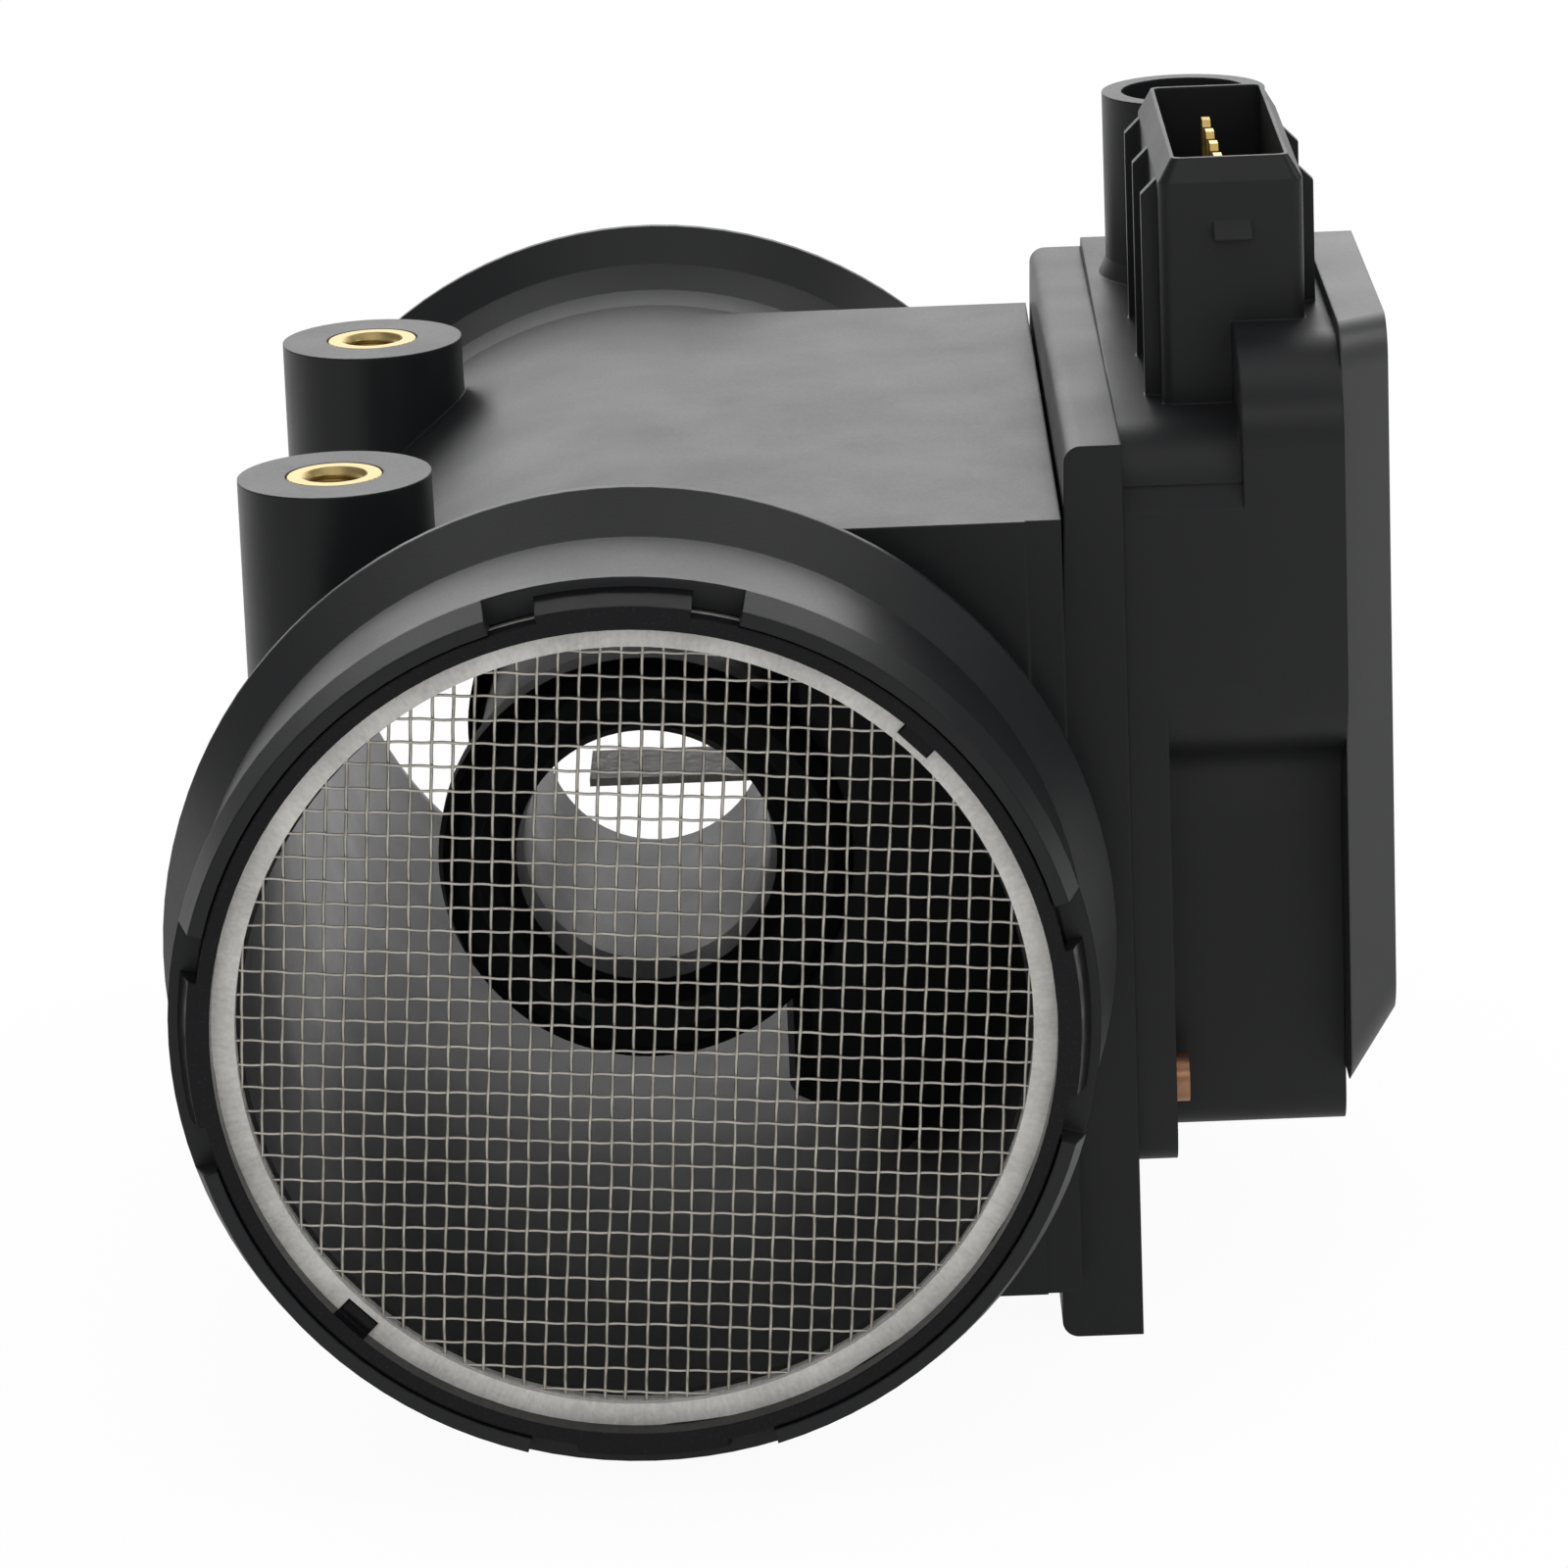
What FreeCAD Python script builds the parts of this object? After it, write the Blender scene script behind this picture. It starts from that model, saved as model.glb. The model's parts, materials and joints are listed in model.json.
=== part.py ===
"""Mass airflow sensor: a straight duct with a flow screen, a measuring tube and a circuit module.

Lengths are millimetres. The origin is on the duct's axis at the front face of the inlet rim.
+X points to the circuit module, +Y along the air flow and +Z up.
"""
import FreeCAD, Part
import math
import os
import Sketcher

SIZES = {
    # Duct: a moulded tube between an inlet rim and an outlet collar
    "duct_length": 155.5,
    "bore_radius": 35.5,
    "body_wall": 3.0,
    "seat_width": 4.1,
    "rim_wall": 1.3,
    "rim_lead": 1.1,
    "notch_depth": 3.5,
    "notch_angle": 32.4,
    "seat_depth": 4.4,
    "neck_step": 0.6,
    "flange_rise": 3.1,
    "flange_edge": 1.2,
    "flange_chamfer": 0.3,
    "inlet_length": 26.0,
    "inlet_flank": 6.3,
    "outlet_length": 11.8,
    "outlet_flank": 16.0,
    "outlet_step": 1.5,
    "outlet_chamfer": 1.2,
    "outlet_flare": 0.9,
    "outlet_flare_length": 5.0,
    # Square block that carries the module, and its drafted mounting plate
    "block_front": 32.0,
    "block_rear": 125.5,
    "block_right": 40.6,
    "block_drop": 0.3,
    "block_step": 3.3,
    "block_step_depth": 0.35,
    "plate_face": 46.5,
    "plate_front": 36.0,
    "plate_rear": 125.0,
    "plate_half_height": 44.2,
    "plate_top_thickness": 5.4,
    "plate_bottom_thickness": 7.8,
    "plate_round": 1.6,
    # Bracket bosses with brass thread inserts
    "boss_offset": 28.2,
    "boss_front": 55.5,
    "boss_spacing": 58.8,
    "boss_top": 39.5,
    "boss_radius": 9.35,
    "boss_draft": 0.35,
    "insert_radius": 4.75,
    "insert_length": 9.0,
    "insert_waist": 0.4,
    "insert_band": 3.2,
    "thread_radius": 2.55,
    # Port in the block for the plug of the measuring tube
    "port_front": 50.0,
    "port_rear": 105.5,
    "port_half_height": 26.3,
    "port_corner": 3.0,
    "port_reach": 19.0,
    "recess_front": 40.5,
    "recess_right": 37.0,
    # Flow screen: woven disc, crimped frame and snap-in retainer
    "frame_step": 0.4,
    "frame_clearance": 0.4,
    "frame_thickness": 2.0,
    "mesh_grip": 0.7,
    "mesh_slack": 0.1,
    "mesh_thickness": 0.4,
    "mesh_pitch": 10.4,
    "mesh_bar": 0.8,
    "mesh_rim": 0.9,
    "key_angle": 45.0,
    "key_width": 3.6,
    "key_clearance": 0.1,
    "key_depth": 3.1,
    "retainer_width": 1.6,
    "retainer_clearance": 0.2,
    "retainer_inset": 0.3,
    "tab_angle": 19.8,
    "tab_inset": 0.8,
    # Measuring tube in the middle of the duct
    "tube_radius": 20.3,
    "tube_front": 50.8,
    "tube_rear": 97.7,
    "nose_radius": 4.0,
    "nose_length": 8.0,
    "mouth_length": 9.6,
    "waist_radius": 17.9,
    "waist_blend": 1.5,
    "tail_radius": 19.6,
    "tail_start": 3.0,
    "tail_end": 6.3,
    "throat_radius": 12.2,
    "throat_exit": 11.3,
    "relief_depth": 29.0,
    "relief_angle": 236.0,
    "tube_skin": 1.8,
    # Strut and plug that carry the tube through the port
    "strut_left": 13.0,
    "strut_front": 54.3,
    "strut_rear": 96.0,
    "strut_nose": 6.7,
    "strut_round": 5.0,
    "plug_clearance": 0.3,
    "plug_length": 6.3,
    "seal_width": 2.0,
    "seal_depth": 1.6,
    "seal_margin": 2.0,
    "pocket_left": 24.0,
    "pocket_right": 39.0,
    "pocket_low": 6.0,
    "pocket_wall": 2.4,
    # Sensing blade and its carrier
    "channel_clearance": 0.2,
    "carrier_front": 79.7,
    "carrier_rear": 93.3,
    "carrier_half_height": 2.3,
    "carrier_left": 12.0,
    "blade_left": -6.3,
    "blade_grip": 9.0,
    "blade_front": 81.2,
    "blade_rear": 91.4,
    "blade_thickness": 0.8,
    # Module case: flange, floor, two heights of box, connector shroud and round tower
    "case_front": 38.5,
    "case_rear": 125.5,
    "case_bottom": -28.2,
    "case_top": 43.5,
    "case_top_rise": 2.2,
    "case_flange": 3.9,
    "case_corner": 3.5,
    "case_setback": 10.0,
    "brow_round": 9.0,
    "brow_height": 4.5,
    "brow_groove": 1.45,
    "brow_lip": 2.2,
    "setback_high": 20.0,
    "setback_low": 4.0,
    "case_step": 57.9,
    "case_open": 67.4,
    "raised_top": 51.7,
    "raised_round": 9.0,
    "raised_rear": 86.0,
    "raised_foot": 98.0,
    "cavity_floor": 53.0,
    "cavity_front": 51.5,
    "cavity_rear": 111.0,
    "cavity_bottom": -18.5,
    "cavity_top": 40.0,
    "cavity_corner": 3.0,
    # Connector shroud
    "shroud_left": 51.3,
    "shroud_right": 65.0,
    "shroud_front": 52.5,
    "shroud_rear": 90.5,
    "shroud_root": 3.0,
    "shroud_shoulder": 65.2,
    "shroud_top": 67.5,
    "shroud_left_slope": 1.3,
    "shroud_right_slope": 1.35,
    "shroud_end_slope": 0.7,
    "shroud_corner": 1.2,
    "shroud_top_corner": 0.8,
    "socket_side_wall": 0.3,
    "socket_end_wall": 1.2,
    "socket_floor": 48.0,
    "socket_corner": 0.8,
    "rib_thickness": 1.4,
    "rib_reach": 1.5,
    "rib_top": 63.5,
    "rib_slope": 1.5,
    "left_rib_count": 3,
    "left_rib_front": 57.0,
    "left_rib_pitch": 15.2,
    "right_rib_count": 2,
    "right_rib_front": 61.0,
    "right_rib_pitch": 19.0,
    "latch_left": 56.4,
    "latch_width": 3.6,
    "latch_top": 61.5,
    "latch_height": 1.7,
    "latch_edge": 0.2,
    "latch_reach": 1.3,
    "tower_x": 56.8,
    "tower_y": 106.8,
    "tower_radius": 8.35,
    "tower_wall": 2.0,
    "tower_flare": 1.6,
    "tower_flare_height": 3.4,
    "tower_top": 64.0,
    "tower_floor": 46.0,
    # Cover and its seal
    "cover_front": 41.5,
    "cover_rear": 114.0,
    "cover_bottom": -22.0,
    "cover_top": 53.0,
    "cover_low_top": 44.6,
    "cover_height": 4.7,
    "cover_bevel": 3.5,
    "cover_bottom_bevel": 6.0,
    "cover_corner": 4.0,
    "cover_seal_gap": 1.0,
    "cover_seal_width": 1.4,
    "cover_seal_depth": 1.2,
    # Circuit parts inside the case
    "sink_thickness": 1.5,
    "sink_margin": 1.5,
    "circuit_thickness": 0.8,
    "circuit_front": 55.5,
    "circuit_rear": 94.5,
    "circuit_bottom": -12.0,
    "circuit_top": 33.0,
    "transistor_front": 97.0,
    "transistor_rear": 107.0,
    "transistor_bottom": 4.0,
    "transistor_top": 13.5,
    "transistor_height": 4.0,
    "transistor_tab": 5.5,
    "transistor_tab_thickness": 1.2,
    "transistor_hole": 1.7,
    # Connector pins
    "pin_count": 5,
    "pin_x": 57.6,
    "pin_front": 57.6,
    "pin_pitch": 6.05,
    "pin_width": 2.8,
    "pin_thickness": 0.8,
    "pin_tip": 65.7,
    "pin_point": 0.6,
    "pin_low": 30.0,
    "pin_foot": 1.2,
    # Module screws
    "screw_radius": 1.5,
    "screw_length": 8.5,
    "screw_hole_clearance": 0.15,
    "screw_head_radius": 2.4,
    "screw_head_height": 1.4,
    "screw_drive_length": 2.8,
    "screw_drive_width": 0.6,
    "screw_drive_depth": 0.7,
    "screw_margin": 5.0,
    "screw_low": 7.6,
    "screw_high": 7.5,
    # How far a cutting tool reaches past the face that it cuts
    "past": 1.0,
}

NOTCHES = 4
ARC_STEPS = 3


class Dim:
    """A length as a number and as the sheet expression that it comes from."""

    def __init__(self, value, text):
        self.value = value
        self.text = text

    @staticmethod
    def of(other):
        return other if isinstance(other, Dim) else Dim(float(other), repr(float(other)))

    def join(self, other, sign, value):
        return Dim(value, "(%s %s %s)" % (self.text, sign, other.text))

    def __add__(self, other):
        other = Dim.of(other)
        return self.join(other, "+", self.value + other.value)

    def __radd__(self, other):
        return Dim.of(other) + self

    def __sub__(self, other):
        other = Dim.of(other)
        return self.join(other, "-", self.value - other.value)

    def __rsub__(self, other):
        return Dim.of(other) - self

    def __mul__(self, other):
        other = Dim.of(other)
        return self.join(other, "*", self.value * other.value)

    def __rmul__(self, other):
        return Dim.of(other) * self

    def __truediv__(self, other):
        other = Dim.of(other)
        return self.join(other, "/", self.value / other.value)

    def __neg__(self):
        return Dim.of(0) - self


def root(length):
    return Dim(math.sqrt(length.value), "sqrt(%s)" % length.text)


doc = FreeCAD.newDocument("mass_airflow_sensor")
sheet = doc.addObject("Spreadsheet::Sheet", "Sizes")


class Table:
    """The driving dimensions, each as a Dim under its own name."""


D = Table()
for row, (alias, number) in enumerate(SIZES.items(), 1):
    sheet.set("A%d" % row, alias)
    sheet.set("B%d" % row, str(number))
    sheet.setAlias("B%d" % row, alias)
    setattr(D, alias, Dim(float(number), "Sizes." + alias))
doc.recompute()


# Building helpers

TURN = {
    "X": FreeCAD.Rotation(FreeCAD.Vector(0, 1, 0), 90),
    "Y": FreeCAD.Rotation(FreeCAD.Vector(1, 0, 0), -90),
    "Z": FreeCAD.Rotation(),
}


def bind(thing, path, value):
    thing.setExpression(path, Dim.of(value).text)


def place(thing, corner):
    for letter, value in zip("xyz", corner):
        bind(thing, "Placement.Base." + letter, value)


def box(name, low, high):
    thing = doc.addObject("Part::Box", name)
    for side, start, end in zip(("Length", "Width", "Height"), low, high):
        bind(thing, side, Dim.of(end) - Dim.of(start))
    place(thing, low)
    return thing


def cylinder(name, foot, axis, radius, length):
    thing = doc.addObject("Part::Cylinder", name)
    thing.Placement.Rotation = TURN[axis]
    bind(thing, "Radius", radius)
    bind(thing, "Height", length)
    place(thing, foot)
    return thing


def cone(name, foot, axis, foot_radius, end_radius, length):
    thing = doc.addObject("Part::Cone", name)
    thing.Placement.Rotation = TURN[axis]
    bind(thing, "Radius1", foot_radius)
    bind(thing, "Radius2", end_radius)
    bind(thing, "Height", length)
    place(thing, foot)
    return thing


def fuse(name, *things):
    thing = doc.addObject("Part::MultiFuse", name)
    thing.Shapes = list(things)
    thing.Refine = True
    return thing


def cut(name, base, *tools):
    thing = doc.addObject("Part::Cut", name)
    thing.Base = base
    thing.Tool = tools[0] if len(tools) == 1 else fuse(name + "_tools", *tools)
    thing.Refine = True
    return thing


def common(name, base, tool):
    thing = doc.addObject("Part::Common", name)
    thing.Base = base
    thing.Tool = tool
    thing.Refine = True
    return thing


def plane_of(body, role):
    for feature in body.Origin.OriginFeatures:
        if feature.Role == role:
            return feature


class Turn:
    """Profile point reached by an arc: side is +1 for a left turn and -1 for a right turn."""

    def __init__(self, across, up, radius, side):
        self.point = (Dim.of(across), Dim.of(up))
        self.radius = Dim.of(radius)
        self.side = side


def arc_of(start, end, radius, side):
    """Arc from start to end, less than half a turn, its centre on the given side."""
    chord = end - start
    middle = (start + end) / 2
    left = FreeCAD.Vector(-chord.y, chord.x, 0).normalize()
    rise = math.sqrt(max(radius ** 2 - (chord.Length / 2) ** 2, 0))
    centre = middle + left * (rise * side)
    first, last = (start, end) if side > 0 else (end, start)
    low = math.atan2(first.y - centre.y, first.x - centre.x)
    high = math.atan2(last.y - centre.y, last.x - centre.x)
    if high < low:
        high += 2 * math.pi
    circle = Part.Circle(centre, FreeCAD.Vector(0, 0, 1), radius)
    return Part.ArcOfCircle(circle, low, high)


def sketch_on(body, role, name, offset=None):
    sketch = body.newObject("Sketcher::SketchObject", name)
    sketch.AttachmentSupport = [(plane_of(body, role), "")]
    sketch.MapMode = "FlatFace"
    if offset is not None:
        bind(sketch, "AttachmentOffset.Base.z", offset)
    return sketch


def outline(sketch, profile):
    """Closed outline through the profile's points, each point tied to the sheet."""
    turns = [item if isinstance(item, Turn) else None for item in profile]
    points = [item.point if isinstance(item, Turn) else item for item in profile]
    spots = [FreeCAD.Vector(Dim.of(u).value, Dim.of(v).value, 0) for u, v in points]
    ends = []
    for number, start in enumerate(spots):
        following = (number + 1) % len(spots)
        turn = turns[following]
        if turn is None:
            sketch.addGeometry(Part.LineSegment(start, spots[following]), False)
            ends.append((1, 2))
        else:
            arc = arc_of(start, spots[following], turn.radius.value, turn.side)
            sketch.addGeometry(arc, False)
            ends.append((1, 2) if turn.side > 0 else (2, 1))
    for number, (across, up) in enumerate(points):
        before = number - 1 if number else len(points) - 1
        sketch.addConstraint(Sketcher.Constraint(
            "Coincident", before, ends[before][1], number, ends[number][0]))
        for kind, value in (("DistanceX", Dim.of(across)), ("DistanceY", Dim.of(up))):
            index = sketch.addConstraint(Sketcher.Constraint(
                kind, -1, 1, number, ends[number][0], value.value))
            bind(sketch, "Constraints[%d]" % index, value)
        if turns[number] is not None:
            radius = turns[number].radius
            index = sketch.addConstraint(Sketcher.Constraint("Radius", before, radius.value))
            bind(sketch, "Constraints[%d]" % index, radius)


def revolved(name, profile, angle=360.0, both_ways=False, copies=1):
    """Profile of (radius, y) points turned about the Y axis."""
    body = doc.addObject("PartDesign::Body", name)
    sketch = sketch_on(body, "XY_Plane", name + "_profile")
    outline(sketch, profile)
    feature = body.newObject("PartDesign::Revolution", name + "_turn")
    feature.Profile = sketch
    feature.ReferenceAxis = (sketch, ["V_Axis"])
    bind(feature, "Angle", angle)
    feature.Midplane = both_ways
    sketch.Visibility = False
    body.Tip = feature
    if copies > 1:
        repeat = body.newObject("PartDesign::PolarPattern", name + "_copies")
        repeat.Originals = [feature]
        repeat.Axis = (plane_of(body, "Y_Axis"), [""])
        repeat.Angle = 360
        repeat.Occurrences = copies
        body.Tip = repeat
    return body


def prism(name, role, profile, start, end):
    """Profile extruded along the plane's own axis, from start to end."""
    start, end = Dim.of(start), Dim.of(end)
    body = doc.addObject("PartDesign::Body", name)
    offset = -end if role == "XZ_Plane" else start
    sketch = sketch_on(body, role, name + "_profile", offset)
    outline(sketch, profile)
    feature = body.newObject("PartDesign::Pad", name + "_pad")
    feature.Profile = sketch
    bind(feature, "Length", end - start)
    body.Tip = feature
    return body


def lofted(name, role, profile, start, far_profile, end):
    """Straight-sided loft between two outlines with as many corners."""
    body = doc.addObject("PartDesign::Body", name)
    near_sketch = sketch_on(body, role, name + "_base", start)
    outline(near_sketch, profile)
    far_sketch = sketch_on(body, role, name + "_top", end)
    outline(far_sketch, far_profile)
    feature = body.newObject("PartDesign::AdditiveLoft", name + "_loft")
    feature.Profile = near_sketch
    feature.Sections = [far_sketch]
    feature.Ruled = True
    body.Tip = feature
    return body


def rounded_rectangle(low, high, corner):
    """Rectangle between two (across, up) corners, with round corners."""
    left, bottom = Dim.of(low[0]), Dim.of(low[1])
    right, top = Dim.of(high[0]), Dim.of(high[1])
    return [
        Turn(left + corner, bottom, corner, 1),
        (right - corner, bottom),
        Turn(right, bottom + corner, corner, 1),
        (right, top - corner),
        Turn(right - corner, top, corner, 1),
        (left + corner, top),
        Turn(left, top - corner, corner, 1),
        (left, bottom + corner),
    ]


PARTS = {}


def finished(label, thing):
    thing.Label = label
    PARTS[label] = thing
    return thing


# Places that several pieces share

body_radius = D.bore_radius + D.body_wall
outlet_radius = body_radius + D.outlet_step
rim_bore = D.bore_radius + D.seat_width
rim_front_radius = rim_bore + D.rim_wall
rim_radius = rim_front_radius + D.rim_lead
neck_radius = rim_radius - D.neck_step
flange_radius = neck_radius + D.flange_rise
screen_opening = D.bore_radius + D.frame_step
key_floor = rim_bore - D.key_depth
retainer_inside = rim_bore - D.retainer_width
rear_flange_back = D.duct_length - D.outlet_length
rear_flange_front = rear_flange_back - D.flange_edge
frame_front = D.seat_depth - D.frame_thickness
mesh_front = frame_front + (D.frame_thickness - D.mesh_thickness) / 2
flange_top_x = D.plate_face + D.case_flange
box_front_low = D.case_front + D.case_setback
box_rear = D.case_rear - D.case_setback
screw_places = {
    "module_screw_front": (D.case_front + D.screw_margin, D.case_bottom + D.screw_low),
    "module_screw_rear_lower": (D.case_rear - D.screw_margin, D.case_bottom + D.screw_low),
    "module_screw_rear_upper": (D.case_rear - D.screw_margin, D.case_top - D.screw_high),
}
boss_places = {
    "front": D.boss_front,
    "rear": D.boss_front + D.boss_spacing,
}
pin_places = [D.pin_front + D.pin_pitch * number for number in range(int(SIZES["pin_count"]))]


# Duct housing: one moulding with the block, the plate and the bracket bosses

def flank(radius, rise, end):
    """Hollow flank from the body up to a flange's edge at end, as short straight steps."""
    def run(height):
        drop = radius - height
        return root(radius * radius - drop * drop)

    foot = end - run(rise)
    steps = [rise * (step / ARC_STEPS) ** 2 for step in range(1, ARC_STEPS)]
    return [(body_radius, foot)] + [(body_radius + height, foot + run(height)) for height in steps]


def duct_outside():
    edge_end = D.inlet_length + D.flange_edge
    profile = [
        (0, 0),
        (rim_front_radius, 0),
        (rim_radius, D.notch_depth),
        (neck_radius, D.notch_depth + D.neck_step),
        (neck_radius, D.inlet_length - D.inlet_flank),
        (flange_radius, D.inlet_length),
        (flange_radius, edge_end - D.flange_chamfer),
        (flange_radius - D.flange_chamfer, edge_end),
        (body_radius, edge_end),
    ] + flank(D.outlet_flank, flange_radius - body_radius, rear_flange_front) + [
        (flange_radius, rear_flange_front),
        (flange_radius, rear_flange_back - D.flange_chamfer),
        (flange_radius - D.flange_chamfer, rear_flange_back),
        (outlet_radius, rear_flange_back),
        (outlet_radius, D.duct_length - D.outlet_chamfer),
        (outlet_radius - D.outlet_chamfer, D.duct_length),
        (0, D.duct_length),
    ]
    return revolved("duct_outside", profile)


def air_passage():
    flare_start = D.duct_length - D.outlet_flare_length
    flare_slope = D.outlet_flare / D.outlet_flare_length
    profile = [
        (0, -D.past),
        (rim_bore, -D.past),
        (rim_bore, D.seat_depth),
        (D.bore_radius, D.seat_depth),
        (D.bore_radius, flare_start),
        (D.bore_radius + flare_slope * (D.outlet_flare_length + D.past), D.duct_length + D.past),
        (0, D.duct_length + D.past),
    ]
    return revolved("air_passage", profile)


def rim_notches():
    profile = [
        (rim_bore - D.past, -D.past),
        (rim_radius + D.past, -D.past),
        (rim_radius + D.past, D.notch_depth),
        (rim_bore - D.past, D.notch_depth),
    ]
    return revolved("rim_notches", profile, D.notch_angle, True, NOTCHES)


def module_block():
    """Block with a shallow step down its front near the plate."""
    height = body_radius - D.block_drop
    wide = box("block_wide", (0, D.block_front, -height),
               (D.block_right - D.block_step, D.block_rear, height))
    slim = box("block_slim", (0, D.block_front + D.block_step_depth, -height),
               (D.block_right, D.block_rear, height))
    return [wide, slim]


def mounting_plate():
    """Plate with a drafted back, thicker at the bottom than at the top."""
    low, high = -D.plate_half_height, D.plate_half_height
    left_low = D.plate_face - D.plate_bottom_thickness
    left_high = D.plate_face - D.plate_top_thickness
    profile = [
        Turn(left_low + D.plate_round, low, D.plate_round, 1),
        (D.plate_face, low),
        (D.plate_face, high),
        (left_high + D.plate_round, high),
        Turn(left_high, high - D.plate_round, D.plate_round, 1),
        (left_low, low + D.plate_round),
    ]
    return prism("mounting_plate", "XZ_Plane", profile, D.plate_front, D.plate_rear)


def duct_housing():
    solids = [duct_outside(), mounting_plate()] + module_block()
    tools = [air_passage(), rim_notches()]
    for place_name, along_y in boss_places.items():
        solids.append(cone("boss_" + place_name, (-D.boss_offset, along_y, 0), "Z",
                           D.boss_radius + D.boss_draft, D.boss_radius, D.boss_top))
        tools.append(cylinder("insert_seat_" + place_name,
                              (-D.boss_offset, along_y, D.boss_top - D.insert_length), "Z",
                              D.insert_radius, D.insert_length + D.past))
    tools.append(prism("tube_port", "YZ_Plane",
                       rounded_rectangle((D.port_front, -D.port_half_height),
                                         (D.port_rear, D.port_half_height), D.port_corner),
                       D.port_reach, D.plate_face + D.past))
    tools.append(box("port_recess", (D.port_reach, D.recess_front, -D.port_half_height),
                     (D.recess_right, D.port_rear - D.port_corner, D.port_half_height)))
    for name, (along_y, height) in screw_places.items():
        tools.append(cylinder(name + "_bore",
                              (flange_top_x - D.screw_length, along_y, height), "X",
                              D.screw_radius, D.screw_length))
    return finished("duct_housing", cut("housing", fuse("housing_solids", *solids), *tools))


def thread_insert(place_name, along_y):
    """Brass insert turned with two bands and a waist between them; its bore is the thread's."""
    outside = D.insert_radius
    waist = D.insert_radius - D.insert_waist
    upper = D.insert_length - D.insert_band
    pieces = [
        cylinder("insert_foot_" + place_name, (-D.boss_offset, along_y, D.boss_top - D.insert_length),
                 "Z", outside, D.insert_band),
        cylinder("insert_waist_" + place_name, (-D.boss_offset, along_y, D.boss_top - D.insert_length),
                 "Z", waist, D.insert_length),
        cylinder("insert_head_" + place_name,
                 (-D.boss_offset, along_y, D.boss_top - D.insert_length + upper),
                 "Z", outside, D.insert_band),
    ]
    bore = cylinder("insert_bore_" + place_name,
                    (-D.boss_offset, along_y, D.boss_top - D.insert_length), "Z",
                    D.thread_radius, D.insert_length)
    solid = fuse("insert_solid_" + place_name, *pieces)
    return finished("thread_insert_" + place_name, cut("insert_" + place_name, solid, bore))


# Flow screen

def screen_frame():
    """Turned ring that grips the woven disc, with two key notches in its outer edge."""
    outer = rim_bore - D.frame_clearance
    mesh_back = mesh_front + D.mesh_thickness
    groove = screen_opening + D.mesh_grip
    ring = revolved("frame_ring", [
        (screen_opening, frame_front),
        (outer, frame_front),
        (outer, D.seat_depth),
        (screen_opening, D.seat_depth),
        (screen_opening, mesh_back),
        (groove, mesh_back),
        (groove, mesh_front),
        (screen_opening, mesh_front),
    ])
    return finished("screen_frame", cut("frame", ring, *key_boxes("frame_key", 0, 0)))


def key_boxes(name, clearance, inner_gap):
    """Two bars across the ring's edge, at the key angle and opposite to it."""
    bars = []
    reach = D.key_depth + D.past
    for number, turn in enumerate((0, 180)):
        bar = doc.addObject("Part::Box", "%s_%d" % (name, number + 1))
        bind(bar, "Length", reach - inner_gap)
        bind(bar, "Width", D.frame_thickness + 2 * D.past)
        bind(bar, "Height", D.key_width - 2 * Dim.of(clearance))
        angle = D.key_angle + turn
        side = D.key_width / 2 - clearance
        inner = key_floor + inner_gap
        cosine = "cos(%s * 1 deg)" % angle.text
        sine = "sin(%s * 1 deg)" % angle.text
        bar.setExpression("Placement.Rotation", "create(<<rotation>>; create(<<vector>>; 0; 1; 0); -%s)"
                          % angle.text)
        bar.setExpression("Placement.Base.x", "%s * %s + %s * %s" % (inner.text, cosine, side.text, sine))
        bar.setExpression("Placement.Base.z", "%s * %s - %s * %s" % (inner.text, sine, side.text, cosine))
        bind(bar, "Placement.Base.y", frame_front - D.past)
        bars.append(bar)
    return bars


def screen_mesh():
    """Woven disc as one thin wall of crossing bars inside a rim."""
    radius = screen_opening + D.mesh_grip - D.mesh_slack
    reach = Dim(math.floor(radius.value / D.mesh_pitch.value),
                "floor(%s / %s)" % (radius.text, D.mesh_pitch.text)) * D.mesh_pitch
    back = mesh_front + D.mesh_thickness
    low, high = -reach - D.mesh_bar / 2, -reach + D.mesh_bar / 2
    layers = {
        "weft": ("Z_Axis", [(-radius, low), (radius, low), (radius, high), (-radius, high)]),
        "warp": ("X_Axis", [(low, -radius), (high, -radius), (high, radius), (low, radius)]),
    }
    pieces = []
    for name, (role, corners) in layers.items():
        body = prism(name, "XZ_Plane", corners, mesh_front, back)
        repeat = body.newObject("PartDesign::LinearPattern", name + "_copies")
        repeat.Originals = [body.Tip]
        repeat.Direction = (plane_of(body, role), [""])
        bind(repeat, "Length", 2 * reach)
        bind(repeat, "Occurrences", 2 * reach / D.mesh_pitch + 1)
        body.Tip = repeat
        disc = cylinder(name + "_disc", (0, mesh_front, 0), "Y", radius, D.mesh_thickness)
        pieces.append(common(name + "_bars", body, disc))
    pieces.append(cut("mesh_rim_ring",
                      cylinder("mesh_rim_outside", (0, mesh_front, 0), "Y", radius, D.mesh_thickness),
                      cylinder("mesh_rim_inside", (0, mesh_front, 0), "Y", radius - D.mesh_rim,
                               D.mesh_thickness)))
    return finished("screen_mesh", fuse("mesh", *pieces))


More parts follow.
